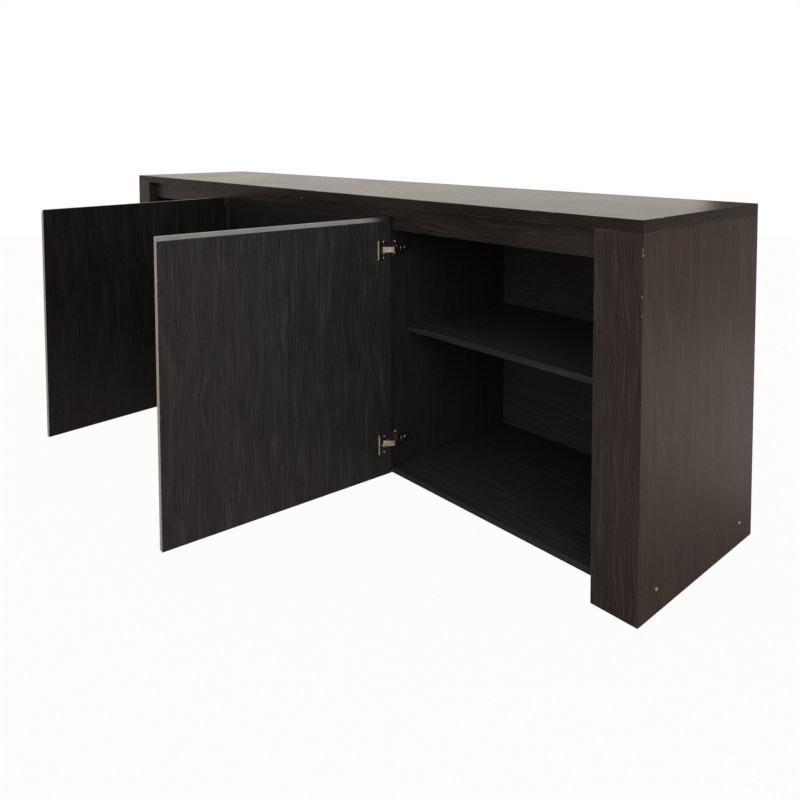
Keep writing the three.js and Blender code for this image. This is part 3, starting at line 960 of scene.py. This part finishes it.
class CREDENZA_OT_stage(bpy.types.Operator):
    """Sets the floor, the light and the camera"""

    bl_idname = "credenza.stage"
    bl_label = "Stage"

    def execute(self, context):
        stage = context.scene.credenza_stage
        context.scene.view_settings.view_transform = "Standard"
        self.add_floor(context, stage)
        self.set_world(context, stage)
        self.add_lamp(context, stage)
        self.add_camera(context, stage)
        return {"FINISHED"}

    def add_floor(self, context, stage):
        mesh = bmesh.new()
        bmesh.ops.create_circle(mesh, cap_ends=True, segments=FLOOR_SEGMENTS, radius=FLOOR_RADIUS)
        data = bpy.data.meshes.new("floor")
        mesh.to_mesh(data)
        mesh.free()
        floor = bpy.data.objects.new("floor", data)
        context.scene.collection.objects.link(floor)
        material, shader, place, _ = start_material("floor_paper")
        feed(shader, Base_Color=opaque(stage.floor_colour), Roughness=FLOOR_ROUGHNESS,
             Specular_IOR_Level=0.0)
        distance = place.node("ShaderNodeVectorMath", {"operation": "LENGTH"}, {0: place}, 1)
        mirrored, seen = self.sight(material.node_tree)
        glow_colour = mirrored.colour_to(WHITE, opaque(stage.floor_mirror))
        glow = place.node("ShaderNodeEmission", {}, {"Color": glow_colour, "Strength": 1.0})
        whitened = distance.math("MAXIMUM", distance.ramp(*FLOOR_FADE), stage.floor_glow)
        from_patch = place.node(
            "ShaderNodeVectorMath", {"operation": "DISTANCE"}, {0: place, 1: SUNNY_PLACE}, 1)
        bright = from_patch.ramp(*SUNNY_FADE).value_to(stage.sunny_share, stage.floor_mirror_share)
        _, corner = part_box("top_panel")
        x, y, _ = place.parts()
        clear = x.math("MAXIMUM", abs(x) - corner.x, abs(y) - corner.y)
        bright = bright * (clear.ramp(*SHADE_REACH) * (1 - SHADE_SHARE) + SHADE_SHARE)
        white = mirrored.value_to(seen * whitened, bright)
        surface = Shade(material.node_tree, shader.outputs["BSDF"])
        mixed = place.node("ShaderNodeMixShader", {}, {0: white, 1: surface, 2: glow})
        output = material.node_tree.nodes["Material Output"]
        material.node_tree.links.new(mixed.socket, output.inputs["Surface"])
        data.materials.append(material)

    def sight(self, tree):
        """1 on rays that a mirror throws back, and 1 on all rays that show the background."""
        rays = tree.nodes.new("ShaderNodeLightPath").outputs
        mirrored = Shade(tree, rays["Is Glossy Ray"])
        direct = Shade(tree, rays["Is Camera Ray"]) + Shade(tree, rays["Is Transmission Ray"])
        seen = direct.math("MINIMUM", direct + mirrored, 1.0)
        return mirrored * (1 - direct.math("MINIMUM", direct, 1.0)), seen

    def set_world(self, context, stage):
        """White where the background is seen; gloss mirrors a bright wall, a dark corner and a near room."""
        world = bpy.data.worlds.new("studio")
        world.use_nodes = True
        context.scene.world = world
        tree = world.node_tree
        mirrored, seen = self.sight(tree)
        direction = Shade(tree, tree.nodes.new("ShaderNodeTexCoord").outputs["Generated"])
        towards_x, towards_y, _ = direction.parts()
        beside_wall = (towards_x + towards_y * math.tan(WALL_END)).ramp(-WALL_BLUR, WALL_BLUR)
        behind = towards_y.ramp(-WALL_BLUR, WALL_BLUR)
        mirror_colour = beside_wall.colour_to(opaque(stage.far_wall), opaque(stage.dark_corner))
        mirror_colour = behind.colour_to(opaque(stage.near_room), mirror_colour)
        background = tree.nodes["Background"]
        tree.links.new(mirrored.colour_to(WHITE, mirror_colour).socket, background.inputs["Color"])
        tree.links.new(seen.value_to(stage.world_level, 1.0).socket, background.inputs["Strength"])

    def add_lamp(self, context, stage):
        lamp = bpy.data.lights.new("softbox", "AREA")
        lamp.shape = "RECTANGLE"
        lamp.size, lamp.size_y = LAMP_SIZE
        lamp.energy = stage.key_power
        softbox = bpy.data.objects.new("softbox", lamp)
        softbox.location = LAMP_PLACE
        aim = LAMP_TARGET - softbox.location
        softbox.rotation_euler = aim.to_track_quat("-Z", "Y").to_euler()
        context.scene.collection.objects.link(softbox)

    def add_camera(self, context, stage):
        yaw, pitch, roll = stage.camera_yaw, stage.camera_pitch, stage.camera_roll
        level = math.cos(pitch)
        forward = Vector((-math.sin(yaw) * level, math.cos(yaw) * level, math.sin(pitch)))
        right = Vector((math.cos(yaw), math.sin(yaw), 0.0))
        up = right.cross(forward)
        rolled_right = right * math.cos(roll) + up * math.sin(roll)
        rolled_up = up * math.cos(roll) - right * math.sin(roll)
        turn = Matrix((rolled_right, rolled_up, -forward)).transposed()
        data = bpy.data.cameras.new("camera")
        data.sensor_width = SENSOR_WIDTH
        data.lens = FOCAL_PIXELS / IMAGE_PIXELS * SENSOR_WIDTH
        data.shift_x = (IMAGE_PIXELS / 2 - AXIS_COLUMN) / IMAGE_PIXELS
        data.shift_y = (AXIS_ROW - IMAGE_PIXELS / 2) / IMAGE_PIXELS
        camera = bpy.data.objects.new("camera", data)
        camera.matrix_world = Matrix.Translation(stage.camera_place) @ turn.to_4x4()
        context.scene.collection.objects.link(camera)
        context.scene.camera = camera


STEPS = (
    CREDENZA_OT_stage,
    CREDENZA_OT_top,
    CREDENZA_OT_legs,
    CREDENZA_OT_carcass,
    CREDENZA_OT_doors,
    CREDENZA_OT_drawers,
    CREDENZA_OT_runners,
    CREDENZA_OT_hinges,
    CREDENZA_OT_hinge_screws,
    CREDENZA_OT_side_screws,
    CREDENZA_OT_back_nails,
    CREDENZA_OT_feet,
)


class CREDENZA_PT_steps(bpy.types.Panel):
    """Lists the sizes, the finishes and the steps that dress the credenza"""

    bl_idname = "CREDENZA_PT_steps"
    bl_label = "Office credenza"
    bl_space_type = "VIEW_3D"
    bl_region_type = "UI"
    bl_category = "Credenza"

    def draw(self, context):
        column = self.layout.column()
        for group in (
            context.scene.credenza_sizes,
            context.scene.credenza_finishes,
            context.scene.credenza_stage,
        ):
            for name in group.__annotations__:
                column.prop(group, name)
        for step in STEPS:
            column.operator(step.bl_idname)


GROUPS = {
    "credenza_sizes": CredenzaSizes,
    "credenza_finishes": CredenzaFinishes,
    "credenza_stage": CredenzaStage,
}
CLASSES = (*GROUPS.values(), *STEPS, CREDENZA_PT_steps)


def register():
    for item in CLASSES:
        bpy.utils.register_class(item)
    for name, group in GROUPS.items():
        setattr(bpy.types.Scene, name, PointerProperty(type=group))


def unregister():
    for name in GROUPS:
        delattr(bpy.types.Scene, name)
    for item in reversed(CLASSES):
        bpy.utils.unregister_class(item)


def main():
    register()
    bpy.ops.credenza.stage()
    bpy.ops.credenza.top()
    bpy.ops.credenza.legs()
    bpy.ops.credenza.carcass()
    bpy.ops.credenza.doors()
    bpy.ops.credenza.drawers()
    bpy.ops.credenza.runners()
    bpy.ops.credenza.hinges()
    bpy.ops.credenza.hinge_screws()
    bpy.ops.credenza.side_screws()
    bpy.ops.credenza.back_nails()
    bpy.ops.credenza.feet()


if __name__ == "__main__":
    main()
